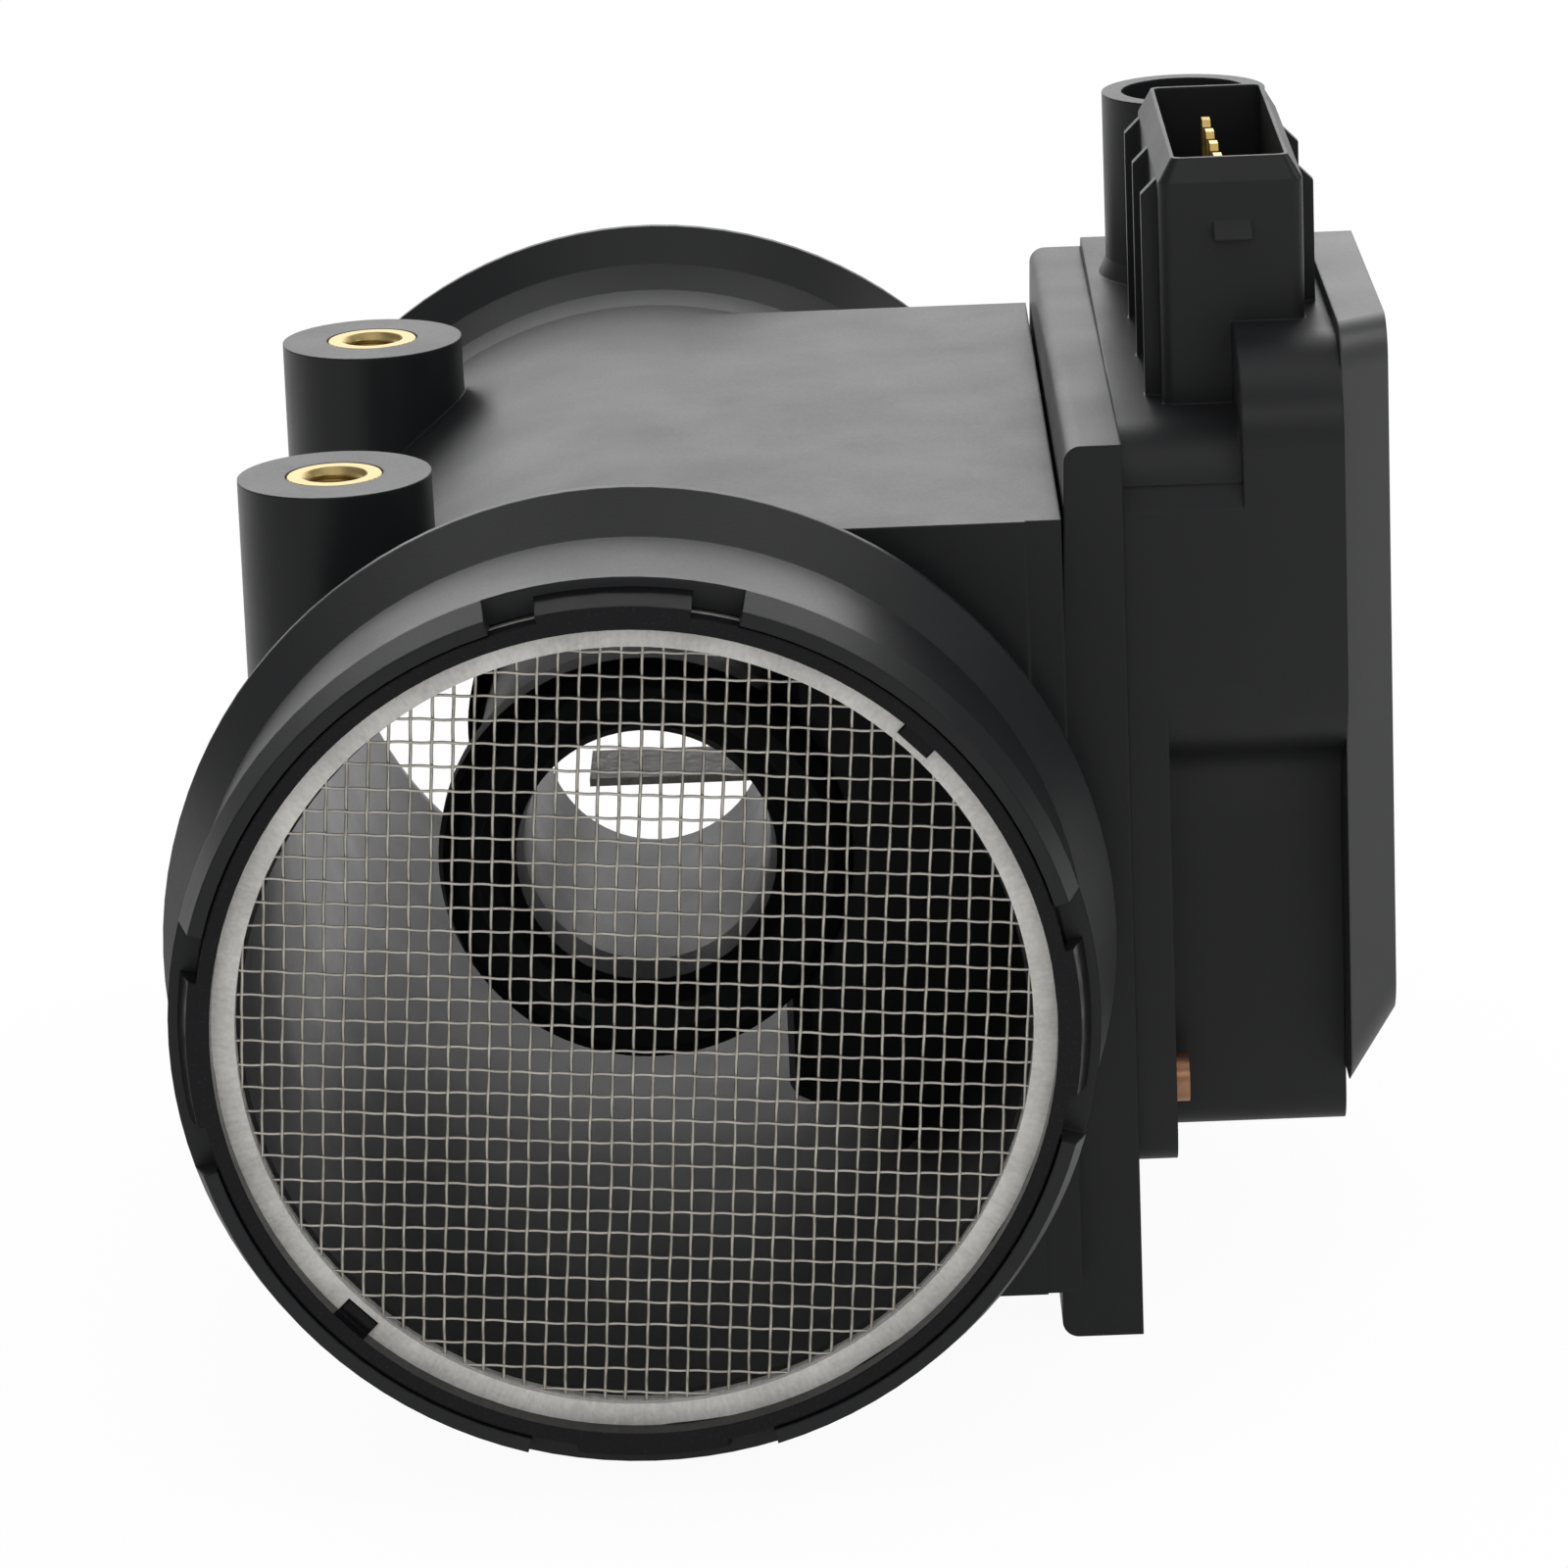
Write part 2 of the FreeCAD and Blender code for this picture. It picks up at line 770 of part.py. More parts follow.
def screen_retainer():
    """Snap ring in front of the frame, with tabs in the rim's notches and two key lugs."""
    outer = rim_bore - D.retainer_clearance
    ring = revolved("retainer_ring", [
        (retainer_inside, D.retainer_inset),
        (outer, D.retainer_inset),
        (outer, frame_front),
        (retainer_inside, frame_front),
    ])
    tab_slope = D.rim_lead / D.notch_depth
    tab_front = rim_front_radius - D.tab_inset
    tab_back = tab_front + tab_slope * (D.notch_depth - D.retainer_inset)
    tabs = revolved("retainer_tabs", [
        (retainer_inside + D.rim_wall / 2, D.retainer_inset),
        (tab_front, D.retainer_inset),
        (tab_back, D.notch_depth),
        (rim_bore, D.notch_depth),
        (rim_bore, frame_front),
        (retainer_inside + D.rim_wall / 2, frame_front),
    ], D.tab_angle, True, NOTCHES)
    lugs = common("retainer_lugs",
                  fuse("retainer_keys", *key_boxes("retainer_key", D.key_clearance, D.key_clearance)),
                  revolved("retainer_key_room", [
                      (key_floor - D.past, frame_front - D.retainer_inset),
                      (outer - D.frame_clearance, frame_front - D.retainer_inset),
                      (outer - D.frame_clearance, D.seat_depth),
                      (key_floor - D.past, D.seat_depth),
                  ]))
    return finished("screen_retainer", fuse("retainer", ring, tabs, lugs))


# Measuring tube with its strut and plug

def plug_outline(inset):
    clearance = D.plug_clearance + inset
    return rounded_rectangle((D.port_front + clearance, -D.port_half_height + clearance),
                             (D.port_rear - clearance, D.port_half_height - clearance),
                             D.port_corner - D.plug_clearance)


def measuring_tube():
    """Tube with a belled mouth, a waist and a tail ring, on a strut whose plug fills the port."""
    lip = D.tube_radius - D.nose_radius
    mouth_rise = lip - D.throat_radius
    throat_start = D.tube_front + D.mouth_length
    angles = [math.pi / 2 * step / ARC_STEPS for step in range(ARC_STEPS + 1)]
    nose = [(lip - mouth_rise * math.cos(turn), D.tube_front + D.mouth_length * (1 - math.sin(turn)))
            for turn in angles[:-1]]
    nose += [(lip + D.nose_radius * math.sin(turn), D.tube_front + D.nose_radius * (1 - math.cos(turn)))
             for turn in angles]
    nose_end = D.tube_front + D.nose_length
    tail_inside = D.waist_radius - D.tube_skin
    outside = revolved("tube_outside", [(0, throat_start)] + nose + [
        (D.tube_radius, nose_end),
        (D.waist_radius, nose_end + D.waist_blend),
        (D.waist_radius, D.tube_rear + D.tail_start - D.waist_blend),
        (D.tail_radius, D.tube_rear + D.tail_start),
        (D.tail_radius, D.tube_rear + D.tail_end),
        (tail_inside, D.tube_rear + D.tail_end),
        (tail_inside, D.tube_rear),
        (0, D.tube_rear),
    ])
    bore = revolved("tube_bore", [
        (0, throat_start - D.past),
        (D.throat_radius, throat_start - D.past),
        (D.throat_radius, throat_start),
        (D.throat_exit, D.tube_rear + D.past),
        (0, D.tube_rear + D.past),
    ])
    relief_inner = D.throat_radius + D.tube_skin
    relief_outer = tail_inside
    relief = revolved("tube_relief", [
        (-relief_outer, D.tube_rear - D.relief_depth),
        (-relief_inner, D.tube_rear - D.relief_depth),
        (-relief_inner, D.tube_rear + D.past),
        (-relief_outer, D.tube_rear + D.past),
    ], D.relief_angle, True)
    plug_start = D.plate_face - D.plug_length
    groove_end = D.plate_face - D.seal_margin
    strut_half = D.port_half_height - D.plug_clearance
    strut_edge = [(D.strut_left + D.strut_round * (1 - math.cos(turn)),
                   D.strut_front + D.strut_nose * (1 - math.sin(turn))) for turn in angles]
    strut = prism("tube_strut", "XY_Plane",
                  [(plug_start, D.strut_front), (plug_start, D.strut_rear),
                   (D.strut_left, D.strut_rear)] + strut_edge,
                  -strut_half, strut_half)
    foot = prism("plug_foot", "YZ_Plane", plug_outline(0), plug_start, groove_end - D.seal_width)
    waist = prism("plug_waist", "YZ_Plane", plug_outline(D.seal_depth), plug_start, D.plate_face)
    head = prism("plug_head", "YZ_Plane", plug_outline(0), groove_end, D.plate_face)
    channel = box("carrier_channel",
                  (0, D.carrier_front - D.channel_clearance,
                   -D.carrier_half_height - D.channel_clearance),
                  (D.plate_face + D.past, D.carrier_rear + D.channel_clearance,
                   D.carrier_half_height + D.channel_clearance))
    tools = [bore, relief, channel]
    for name, sign in (("upper", 1), ("lower", -1)):
        high = strut_half - D.pocket_wall
        low_z, high_z = (D.pocket_low, high) if sign > 0 else (-high, -D.pocket_low)
        tools.append(box("strut_pocket_" + name,
                         (D.pocket_left, D.strut_front + D.pocket_wall, low_z),
                         (D.pocket_right, D.strut_rear + D.past, high_z)))
    solid = fuse("tube_solids", outside, strut, foot, waist, head)
    return finished("measuring_tube", cut("tube", solid, *tools))


def plug_seal():
    groove_end = D.plate_face - D.seal_margin
    outer = prism("seal_outside", "YZ_Plane",
                  rounded_rectangle((D.port_front, -D.port_half_height),
                                    (D.port_rear, D.port_half_height), D.port_corner),
                  groove_end - D.seal_width, groove_end)
    inner = prism("seal_inside", "YZ_Plane", plug_outline(D.seal_depth),
                  groove_end - D.seal_width, groove_end)
    return finished("plug_seal", cut("port_ring", outer, inner))


def sensor_carrier():
    """Bar from the circuit to the tube's bore, slotted for the sensing blade."""
    bar = box("carrier_bar", (D.carrier_left, D.carrier_front, -D.carrier_half_height),
              (D.cavity_floor, D.carrier_rear, D.carrier_half_height))
    slot = box("carrier_slot", (D.carrier_left - D.past, D.blade_front, -D.blade_thickness / 2),
               (D.carrier_left + D.blade_grip, D.blade_rear, D.blade_thickness / 2))
    return finished("sensor_carrier", cut("carrier", bar, slot))


def sensor_element():
    blade = box("blade", (D.blade_left, D.blade_front, -D.blade_thickness / 2),
                (D.carrier_left + D.blade_grip, D.blade_rear, D.blade_thickness / 2))
    return finished("sensor_element", blade)


# Circuit module

def setback():
    """Front of the case from its upper part down to the set-back lower part, as a soft step."""
    drop = D.setback_high - D.setback_low
    radius = (D.case_setback * D.case_setback + drop * drop) / (4 * D.case_setback)
    return [
        (D.case_front, D.setback_high),
        Turn(D.case_front + D.case_setback / 2, D.setback_low + drop / 2, radius, 1),
        Turn(box_front_low, D.setback_low, radius, -1),
    ]


def top_at(along_y):
    """Height of the case's top, which rises towards the rear."""
    return D.case_top + D.case_top_rise * (along_y - D.case_front) / (D.case_rear - D.case_front)


def lower_brow():
    """Rounded upper front of the lower case, with a shallow groove under it."""
    turn = D.brow_round - D.brow_height
    foot = D.case_front + D.brow_round - root(D.brow_round * D.brow_round - turn * turn)
    top = top_at(D.case_front + D.brow_round)
    groove = top - D.brow_height
    return [
        (D.case_front + D.brow_round, top),
        Turn(foot, groove, D.brow_round, 1),
        (D.case_front + D.brow_groove, groove),
        (D.case_front, groove - D.brow_lip),
    ]


def raised_brow():
    """Upper outline of the raised case, from its rear slope to its rounded front."""
    return [
        (D.raised_foot, D.case_top),
        (D.raised_rear, D.raised_top),
        (D.case_front + D.raised_round, D.raised_top),
        Turn(D.case_front, D.raised_top - D.raised_round, D.raised_round, 1),
    ]


def case_profile(rear_top, brow):
    """Side outline of the case under the given brow, set back at its lower front."""
    return [
        Turn(box_front_low + D.case_corner, D.case_bottom, D.case_corner, 1),
        (box_rear - D.case_corner, D.case_bottom),
        Turn(box_rear, D.case_bottom + D.case_corner, D.case_corner, 1),
        (box_rear, rear_top),
    ] + brow + setback() + [(box_front_low, D.case_bottom + D.case_corner)]


def flange_profile():
    """Side outline of the case's flange, under the same brow as the lower case."""
    rear_top = top_at(D.case_rear)
    return [
        Turn(D.case_front + D.case_corner, D.case_bottom, D.case_corner, 1),
        (D.case_rear - D.case_corner, D.case_bottom),
        Turn(D.case_rear, D.case_bottom + D.case_corner, D.case_corner, 1),
        (D.case_rear, rear_top - D.case_corner),
        Turn(D.case_rear - D.case_corner, rear_top, D.case_corner, 1),
    ] + lower_brow() + [(D.case_front, D.case_bottom + D.case_corner)]


def shroud():
    """Connector shroud with sloped shoulders, side ribs and a latch lug."""
    foot = D.case_top - D.shroud_root
    base = rounded_rectangle((D.shroud_left, D.shroud_front), (D.shroud_right, D.shroud_rear),
                             D.shroud_corner)
    lip = rounded_rectangle((D.shroud_left + D.shroud_left_slope, D.shroud_front + D.shroud_end_slope),
                            (D.shroud_right - D.shroud_right_slope, D.shroud_rear - D.shroud_end_slope),
                            D.shroud_top_corner)
    pieces = [
        prism("shroud_shell", "XY_Plane", base, foot, D.shroud_shoulder),
        lofted("shroud_lead", "XY_Plane", base, D.shroud_shoulder, lip, D.shroud_top),
    ]
    for number in range(int(SIZES["left_rib_count"])):
        middle = D.left_rib_front + D.left_rib_pitch * number
        pieces.append(prism("left_rib_%d" % (number + 1), "XZ_Plane", [
            (D.shroud_left - D.rib_reach, foot),
            (D.shroud_left + D.shroud_corner, foot),
            (D.shroud_left + D.shroud_corner, D.rib_top + D.rib_slope),
            (D.shroud_left, D.rib_top + D.rib_slope),
            (D.shroud_left - D.rib_reach, D.rib_top),
        ], middle - D.rib_thickness / 2, middle + D.rib_thickness / 2))
    for number in range(int(SIZES["right_rib_count"])):
        middle = D.right_rib_front + D.right_rib_pitch * number
        pieces.append(prism("right_rib_%d" % (number + 1), "XZ_Plane", [
            (D.shroud_right - D.shroud_corner, foot),
            (D.shroud_right + D.rib_reach, foot),
            (D.shroud_right + D.rib_reach, D.rib_top),
            (D.shroud_right, D.rib_top + D.rib_slope),
            (D.shroud_right - D.shroud_corner, D.rib_top + D.rib_slope),
        ], middle - D.rib_thickness / 2, middle + D.rib_thickness / 2))
    latch_low = D.latch_top - D.latch_height
    pieces.append(prism("latch_lug", "YZ_Plane", [
        (D.shroud_front - D.latch_reach, latch_low),
        (D.shroud_front + D.socket_end_wall / 2, latch_low),
        (D.shroud_front + D.socket_end_wall / 2, D.latch_top),
        (D.shroud_front, D.latch_top),
        (D.shroud_front - D.latch_reach, latch_low + D.latch_edge),
    ], D.latch_left, D.latch_left + D.latch_width))
    return pieces


def socket():
    left = D.shroud_left + D.shroud_left_slope + D.socket_side_wall
    right = D.shroud_right - D.shroud_right_slope - D.socket_side_wall
    return prism("socket", "XY_Plane",
                 rounded_rectangle((left, D.shroud_front + D.socket_end_wall),
                                   (right, D.shroud_rear - D.socket_end_wall), D.socket_corner),
                 D.socket_floor, D.shroud_top + D.past)


def cavity_outline(margin):
    return rounded_rectangle((D.cavity_front - margin, D.cavity_bottom - margin),
                             (D.cavity_rear + margin, D.cavity_top + margin),
                             D.cavity_corner + margin)


def seal_ring(name, start, end):
    """Ring around the cavity's mouth, the same for the seal and for its groove."""
    inner = D.cover_seal_gap
    outer = inner + D.cover_seal_width
    return cut(name, prism(name + "_outside", "YZ_Plane", cavity_outline(outer), start, end),
               prism(name + "_inside", "YZ_Plane", cavity_outline(inner), start, end))


def module_case():
    """Case open to the right: flange, stepped box, connector shroud and round tower."""
    flange = prism("case_flange_plate", "YZ_Plane", flange_profile(), D.plate_face, flange_top_x)
    lower = prism("case_lower", "YZ_Plane", case_profile(top_at(box_rear), lower_brow()),
                  D.plate_face, D.case_open)
    raised = prism("case_raised", "YZ_Plane", case_profile(D.case_top, raised_brow()),
                   D.case_step, D.case_open)
    tower_foot = D.case_top - D.shroud_root
    tower = cylinder("tower", (D.tower_x, D.tower_y, tower_foot), "Z", D.tower_radius,
                     D.tower_top - tower_foot)
    tower_flare = cone("tower_flare", (D.tower_x, D.tower_y, D.case_top), "Z",
                       D.tower_radius + D.tower_flare, D.tower_radius, D.tower_flare_height)
    tools = [
        socket(),
        prism("case_cavity", "YZ_Plane", cavity_outline(Dim.of(0)), D.cavity_floor,
              D.case_open + D.past),
        seal_ring("seal_groove", D.case_open - D.cover_seal_depth, D.case_open),
        cylinder("tower_well", (D.tower_x, D.tower_y, D.tower_floor), "Z",
                 D.tower_radius - D.tower_wall, D.tower_top + D.past - D.tower_floor),
        box("carrier_slot_in_case", (D.plate_face - D.past, D.carrier_front, -D.carrier_half_height),
            (D.cavity_floor, D.carrier_rear, D.carrier_half_height)),
    ]
    for number, middle in enumerate(pin_places, 1):
        tools.append(box("pin_slot_%d" % number,
                         (D.pin_x - D.pin_thickness / 2, middle - D.pin_width / 2,
                          D.cavity_top - D.past),
                         (D.pin_x + D.pin_thickness / 2, middle + D.pin_width / 2, D.socket_floor)))
    for name, (along_y, height) in screw_places.items():
        tools.append(cylinder(name + "_hole", (D.plate_face - D.past, along_y, height), "X",
                              D.screw_radius + D.screw_hole_clearance, D.case_flange + D.past))
    solid = fuse("case_solids", flange, lower, raised, tower, tower_flare, *shroud())
    return finished("module_case", cut("case", solid, *tools))


def module_cover():
    """Cover with round corners, bevelled in front, behind and below, lower at its upper rear."""
    corner = D.cover_corner

    def edge(front, rear, bottom):
        return [
            Turn(front + corner, bottom, corner, 1),
            (rear - corner, bottom),
            Turn(rear, bottom + corner, corner, 1),
            (rear, D.cover_low_top - corner),
            Turn(rear - corner, D.cover_low_top, corner, 1),
            (D.raised_foot, D.cover_low_top),
            (D.raised_rear, D.cover_top),
            (front + corner, D.cover_top),
            Turn(front, D.cover_top - corner, corner, 1),
            (front, bottom + corner),
        ]

    base = edge(D.cover_front, D.cover_rear, D.cover_bottom)
    face = edge(D.cover_front + D.cover_bevel, D.cover_rear - D.cover_bevel,
                D.cover_bottom + D.cover_bottom_bevel)
    return finished("module_cover", lofted("cover", "YZ_Plane", base, D.case_open,
                                           face, D.case_open + D.cover_height))


def cover_seal():
    return finished("cover_seal", seal_ring("seal_cord", D.case_open - D.cover_seal_depth, D.case_open))


def heat_sink():
    margin = D.sink_margin
    plate = prism("sink_plate", "YZ_Plane",
                  rounded_rectangle((D.cavity_front + margin, D.cavity_bottom + margin),
                                    (D.cavity_rear - margin, D.cavity_top - margin),
                                    D.cavity_corner),
                  D.cavity_floor, D.cavity_floor + D.sink_thickness)
    return finished("heat_sink", plate)


def hybrid_circuit():
    face = D.cavity_floor + D.sink_thickness
    board = box("circuit_board", (face, D.circuit_front, D.circuit_bottom),
                (face + D.circuit_thickness, D.circuit_rear, D.circuit_top))
    return finished("hybrid_circuit", board)


def power_transistor():
    """Transistor package with its drilled metal tab flat on the heat sink."""
    face = D.cavity_floor + D.sink_thickness
    package = box("transistor_package", (face, D.transistor_front, D.transistor_bottom),
                  (face + D.transistor_height, D.transistor_rear, D.transistor_top))
    tab_end = D.transistor_top + D.transistor_tab
    tab = box("transistor_tab", (face, D.transistor_front, D.transistor_bottom),
              (face + D.transistor_tab_thickness, D.transistor_rear, tab_end))
    hole = cylinder("transistor_hole",
                    (face - D.past, (D.transistor_front + D.transistor_rear) / 2,
                     D.transistor_top + D.transistor_tab / 2), "X",
                    D.transistor_hole, D.transistor_tab_thickness + 2 * D.past)
    return finished("power_transistor",
                    cut("transistor", fuse("transistor_solid", package, tab), hole))


def connector_pin(number, middle):
    """Flat blade with a pointed tip, and a foot on the circuit."""
    half = D.pin_width / 2
    half_thickness = D.pin_thickness / 2
    blade = prism("pin_blade_%d" % number, "YZ_Plane", [
        (middle - half, D.pin_low),
        (middle + half, D.pin_low),
        (middle + half, D.pin_tip - D.pin_point),
        (middle + half - D.pin_point, D.pin_tip),
        (middle - half + D.pin_point, D.pin_tip),
        (middle - half, D.pin_tip - D.pin_point),
    ], D.pin_x - half_thickness, D.pin_x + half_thickness)
    circuit_face = D.cavity_floor + D.sink_thickness + D.circuit_thickness
    foot = box("pin_foot_%d" % number, (circuit_face, middle - half_thickness, D.pin_low),
               (D.pin_x, middle + half_thickness, D.pin_low + D.pin_foot))
    return finished("connector_pin_%d" % number, fuse("pin_%d" % number, blade, foot))


def module_screw(name, along_y, height):
    """Screw with a low round head and a cross recess."""
    shank = cylinder(name + "_shank", (flange_top_x - D.screw_length, along_y, height), "X",
                     D.screw_radius, D.screw_length)
    head = cylinder(name + "_head", (flange_top_x, along_y, height), "X",
                    D.screw_head_radius, D.screw_head_height)
    head_face = flange_top_x + D.screw_head_height
    long_half, slim_half = D.screw_drive_length / 2, D.screw_drive_width / 2
    drives = []
    for side, (half_y, half_z) in (("flat", (long_half, slim_half)), ("upright", (slim_half, long_half))):
        drives.append(box("%s_%s_slot" % (name, side),
                          (head_face - D.screw_drive_depth, along_y - half_y, height - half_z),
                          (head_face + D.past, along_y + half_y, height + half_z)))
    return finished(name, cut(name + "_cut", fuse(name + "_solid", shank, head), *drives))


# The whole sensor

duct_housing()
for place_name, along_y in boss_places.items():
    thread_insert(place_name, along_y)
screen_mesh()
screen_frame()
screen_retainer()
measuring_tube()
plug_seal()
sensor_carrier()
sensor_element()
module_case()
module_cover()
cover_seal()
heat_sink()
hybrid_circuit()
power_transistor()
for number, middle in enumerate(pin_places, 1):
    connector_pin(number, middle)
for name, (along_y, height) in screw_places.items():
    module_screw(name, along_y, height)

doc.recompute()

for thing in doc.Objects:
    bad = [state for state in thing.State if state in ("Invalid", "Error")]
    if bad:
        raise RuntimeError("%s is %s" % (thing.Name, ", ".join(bad)))
for label, thing in PARTS.items():
    if thing.Shape.isNull() or not thing.Shape.isValid():
        raise RuntimeError("%s has no valid shape" % label)
    if not thing.Shape.Solids:
        raise RuntimeError("%s has no solid" % label)

os.makedirs("parts", exist_ok=True)
for label, thing in PARTS.items():
    thing.Shape.exportStep("parts/%s.step" % label)
    print("%-26s solids %d  volume %10.1f" % (label, len(thing.Shape.Solids), thing.Shape.Volume))
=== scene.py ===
"""Looks of the mass airflow sensor: finishes, woven screen, sealant, threads, studio and camera."""
import json
import math
import random

import bmesh
import bpy
from mathutils import Matrix, Vector, noise


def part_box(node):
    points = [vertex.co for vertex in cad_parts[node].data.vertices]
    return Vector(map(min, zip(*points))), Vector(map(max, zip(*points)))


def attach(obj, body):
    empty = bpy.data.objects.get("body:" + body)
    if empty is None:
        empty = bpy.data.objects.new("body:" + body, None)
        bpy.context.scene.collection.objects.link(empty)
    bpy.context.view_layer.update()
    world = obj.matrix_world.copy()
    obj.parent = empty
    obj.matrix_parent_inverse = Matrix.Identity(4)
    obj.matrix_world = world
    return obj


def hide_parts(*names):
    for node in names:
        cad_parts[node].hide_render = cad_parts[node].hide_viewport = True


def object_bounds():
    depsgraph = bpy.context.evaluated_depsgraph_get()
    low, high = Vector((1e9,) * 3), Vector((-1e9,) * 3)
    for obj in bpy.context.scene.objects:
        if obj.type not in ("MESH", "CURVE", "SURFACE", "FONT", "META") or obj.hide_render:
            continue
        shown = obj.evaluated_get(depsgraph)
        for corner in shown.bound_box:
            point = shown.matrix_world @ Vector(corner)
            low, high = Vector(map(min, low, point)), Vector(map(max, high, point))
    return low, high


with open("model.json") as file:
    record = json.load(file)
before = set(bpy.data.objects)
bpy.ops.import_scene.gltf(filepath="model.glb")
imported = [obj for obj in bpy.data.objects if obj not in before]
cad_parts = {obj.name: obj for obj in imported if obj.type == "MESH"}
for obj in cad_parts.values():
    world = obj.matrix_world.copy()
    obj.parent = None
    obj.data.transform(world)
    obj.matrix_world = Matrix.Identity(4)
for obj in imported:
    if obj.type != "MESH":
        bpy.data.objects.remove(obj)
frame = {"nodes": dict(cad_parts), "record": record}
nodes = frame["nodes"]
cad_low, cad_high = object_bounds()

MM = 0.001
BODY = "root"


# Camera: solved from the photograph, in the part's own frame

CAMERA_PLACE = Vector((21.24, -546.94, 187.18)) * MM
CAMERA_YAW = math.radians(-0.717)
CAMERA_PITCH = math.radians(-16.668)
CAMERA_ROLL = math.radians(-2.371)
FOCAL_PIXELS = 6592.7
PHOTO_PIXELS = 1600
SENSOR_WIDTH = 36.0


def make_camera():
    sight = Vector((math.sin(CAMERA_YAW) * math.cos(CAMERA_PITCH),
                    math.cos(CAMERA_YAW) * math.cos(CAMERA_PITCH),
                    math.sin(CAMERA_PITCH)))
    level = Vector((math.cos(CAMERA_YAW), -math.sin(CAMERA_YAW), 0))
    upright = level.cross(sight)
    right = math.cos(CAMERA_ROLL) * level + math.sin(CAMERA_ROLL) * upright
    up = -math.sin(CAMERA_ROLL) * level + math.cos(CAMERA_ROLL) * upright
    data = bpy.data.cameras.new("photo_camera")
    data.sensor_width = SENSOR_WIDTH
    data.lens = FOCAL_PIXELS / PHOTO_PIXELS * SENSOR_WIDTH
    data.clip_start, data.clip_end = 0.01, 20
    camera = bpy.data.objects.new("photo_camera", data)
    turn = Matrix((right, up, -sight)).transposed()
    camera.matrix_world = Matrix.Translation(CAMERA_PLACE) @ turn.to_4x4()
    bpy.context.scene.collection.objects.link(camera)
    bpy.context.scene.camera = camera


# Node helpers

EDGE_SAMPLES = 4


class Shade:
    """A material's node tree with short calls for the nodes used here."""

    def __init__(self, name):
        self.material = bpy.data.materials.new(name)
        self.material.use_nodes = True
        self.tree = self.material.node_tree
        self.tree.nodes.clear()
        self.output = self.tree.nodes.new("ShaderNodeOutputMaterial")
        self.surface = self.tree.nodes.new("ShaderNodeBsdfPrincipled")
        self.link(self.surface.outputs["BSDF"], self.output.inputs["Surface"])
        self.place = self.tree.nodes.new("ShaderNodeTexCoord").outputs["Object"]

    def link(self, start, end):
        self.tree.links.new(start, end)

    def feed(self, value, socket):
        if hasattr(value, "is_output"):
            self.link(value, socket)
        else:
            socket.default_value = value

    def set(self, **values):
        for key, value in values.items():
            self.feed(value, self.surface.inputs[key.replace("_", " ")])

    def stretched(self, scale):
        node = self.tree.nodes.new("ShaderNodeMapping")
        self.link(self.place, node.inputs["Vector"])
        node.inputs["Scale"].default_value = scale
        return node.outputs["Vector"]

    def noise(self, scale, detail=2.0, rough=0.5, vector=None):
        node = self.tree.nodes.new("ShaderNodeTexNoise")
        self.link(vector or self.place, node.inputs["Vector"])
        node.inputs["Scale"].default_value = scale
        node.inputs["Detail"].default_value = detail
        node.inputs["Roughness"].default_value = rough
        return node.outputs["Fac"]

    def math(self, operation, first, second=0.0, third=None):
        node = self.tree.nodes.new("ShaderNodeMath")
        node.operation = operation
        self.feed(first, node.inputs[0])
        self.feed(second, node.inputs[1])
        if third is not None:
            self.feed(third, node.inputs[2])
        return node.outputs[0]

    def spread(self, value, low, high, from_low=0.3, from_high=0.7):
        """Stretches the middle range of a noise value over the range from low to high."""
        node = self.tree.nodes.new("ShaderNodeMapRange")
        self.link(value, node.inputs["Value"])
        node.inputs["From Min"].default_value = from_low
        node.inputs["From Max"].default_value = from_high
        node.inputs["To Min"].default_value = low
        node.inputs["To Max"].default_value = high
        return node.outputs["Result"]

    def blend(self, factor, first, second):
        node = self.tree.nodes.new("ShaderNodeMix")
        node.data_type = "RGBA"
        self.feed(factor, node.inputs["Factor"])
        self.feed(first, node.inputs["A"])
        self.feed(second, node.inputs["B"])
        return node.outputs["Result"]

    def bump(self, height, distance, strength=1.0, under=None):
        node = self.tree.nodes.new("ShaderNodeBump")
        self.link(height, node.inputs["Height"])
        node.inputs["Distance"].default_value = distance
        node.inputs["Strength"].default_value = strength
        if under is not None:
            self.link(under, node.inputs["Normal"])
        return node.outputs["Normal"]

    def axes(self):
        node = self.tree.nodes.new("ShaderNodeSeparateXYZ")
        self.link(self.place, node.inputs[0])
        return node.outputs

    def from_axis(self):
        """Distance from the duct's axis."""
        x, y, z = self.axes()[:3]
        return self.math("SQRT", self.math("ADD", self.math("MULTIPLY", x, x),
                                           self.math("MULTIPLY", z, z)))

    def soft_edge(self, radius):
        """Normal that rounds off the edges of a piece, so that they catch a thin line of light."""
        node = self.tree.nodes.new("ShaderNodeBevel")
        node.samples = EDGE_SAMPLES
        node.inputs["Radius"].default_value = radius
        return node.outputs["Normal"]


def ramp(tree, value, low, high, start, end):
    """Smooth change from start to end while the value goes from low to high."""
    node = tree.nodes.new("ShaderNodeMapRange")
    node.interpolation_type = "SMOOTHSTEP"
    tree.links.new(value, node.inputs["Value"])
    node.inputs["From Min"].default_value = low
    node.inputs["From Max"].default_value = high
    node.inputs["To Min"].default_value = start
    node.inputs["To Max"].default_value = end
    return node.outputs["Result"]


def tone(red, green, blue):
    return (red, green, blue, 1.0)


# Materials

PLASTIC_IOR = 1.44
EDGE_ROUND = 0.3 * MM
GRAIN_DEPTH = 0.03 * MM
SMOOTH_BORE = 36.0 * MM
FILM_HEIGHTS = (-30 * MM, -12 * MM)
FILM_ROUGHER = 0.18
CORE_ROUGHER = -0.07


